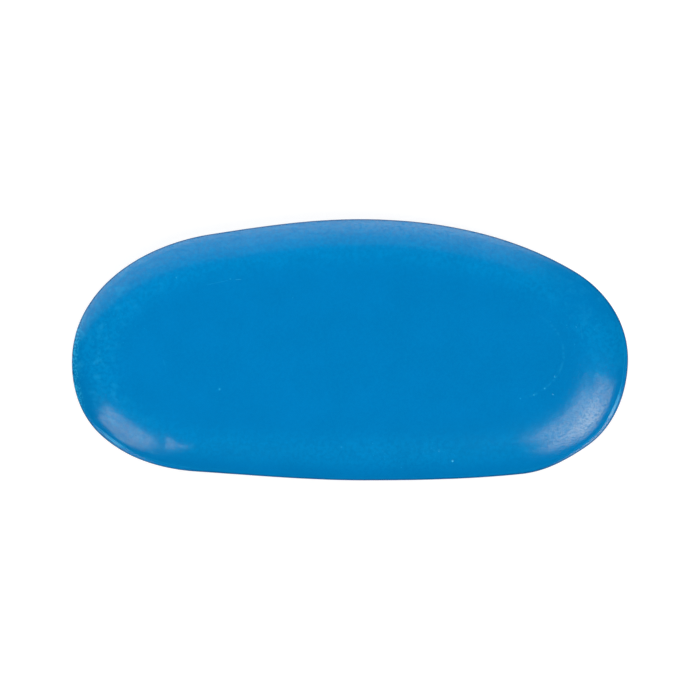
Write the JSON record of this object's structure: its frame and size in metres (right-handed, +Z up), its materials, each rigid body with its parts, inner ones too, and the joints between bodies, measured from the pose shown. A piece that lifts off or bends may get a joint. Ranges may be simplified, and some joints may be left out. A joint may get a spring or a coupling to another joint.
{
  "type": "rubber rib",
  "caption": "Palm-sized rubber rib for potters: a flexible rounded slab with a flat middle on both faces and crowned edges for compressing and smoothing clay.",
  "frame": {"origin": "centre of the bounding box's underside, on the lower flat panel that the rib lies on", "axes": "+X along the length, towards the end with the tighter lower corner; +Y across the width, towards the more arched long side; +Z up out of the upper flat panel"},
  "size_m": [0.133, 0.0624, 0.0095],
  "materials": {
    "blue_rubber": "satin, lightly mottled moulded surface"
  },
  "bodies": {
    "root": {"rib_body": "blue_rubber"}
  },
  "joints": []
}
